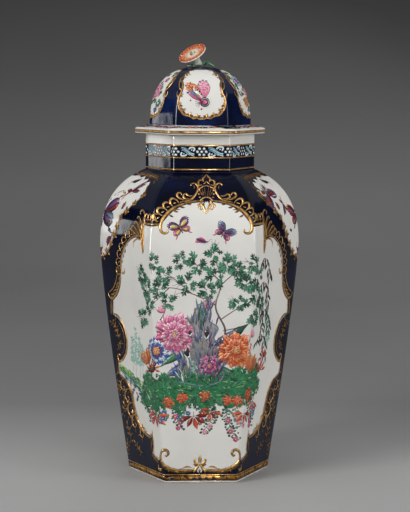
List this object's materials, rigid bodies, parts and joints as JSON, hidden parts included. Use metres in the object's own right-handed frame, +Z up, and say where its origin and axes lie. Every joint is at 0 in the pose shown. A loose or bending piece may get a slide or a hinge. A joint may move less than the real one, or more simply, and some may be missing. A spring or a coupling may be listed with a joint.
{
  "type": "covered hexagonal baluster vase",
  "caption": "Hexagonal press-moulded porcelain baluster vase with a lift-off domed cover and a modelled flower knob.",
  "frame": {"origin": "centre of the foot on the surface that the vase stands on, on the axis of the hexagon", "axes": "+Z up the axis of the vase; one flat facet faces -Y; two arrises lie on the X axis, and the bloom of the knob leans towards -X"},
  "size_m": [0.188, 0.1636, 0.4051],
  "materials": {
    "cobalt_ground_glaze": "soft-paste porcelain with a dark underglaze cobalt ground under a clear glossy glaze",
    "white_glaze": "soft-paste porcelain under a clear glossy glaze",
    "biscuit": "unglazed fired porcelain body, matt",
    "orange_enamel": "porcelain with orange-red overglaze enamel",
    "green_enamel": "porcelain with green overglaze enamel",
    "purple_enamel": "porcelain with purple overglaze enamel"
  },
  "bodies": {
    "vase": {"vase_wall": "cobalt_ground_glaze", "vase_floor": "white_glaze", "neck_collar": "cobalt_ground_glaze"},
    "cover": {"cover_flange": "white_glaze", "locating_lip": "biscuit", "cover_dome": "cobalt_ground_glaze", "finial_pad": "green_enamel", "finial_stalk": "white_glaze", "flower_bloom": "orange_enamel", "flower_calyx": "white_glaze", "stamen_1": "green_enamel", "stamen_2": "green_enamel", "stamen_3": "purple_enamel", "leaf_1": "green_enamel", "leaf_2": "green_enamel", "leaf_3": "green_enamel", "leaf_4": "green_enamel", "leaf_5": "green_enamel"}
  },
  "joints": [
    {"name": "cover_lift", "type": "slide", "parent": "vase", "child": "cover", "axis": [0, 0, 1], "range_m": [0, 0.12]}
  ]
}
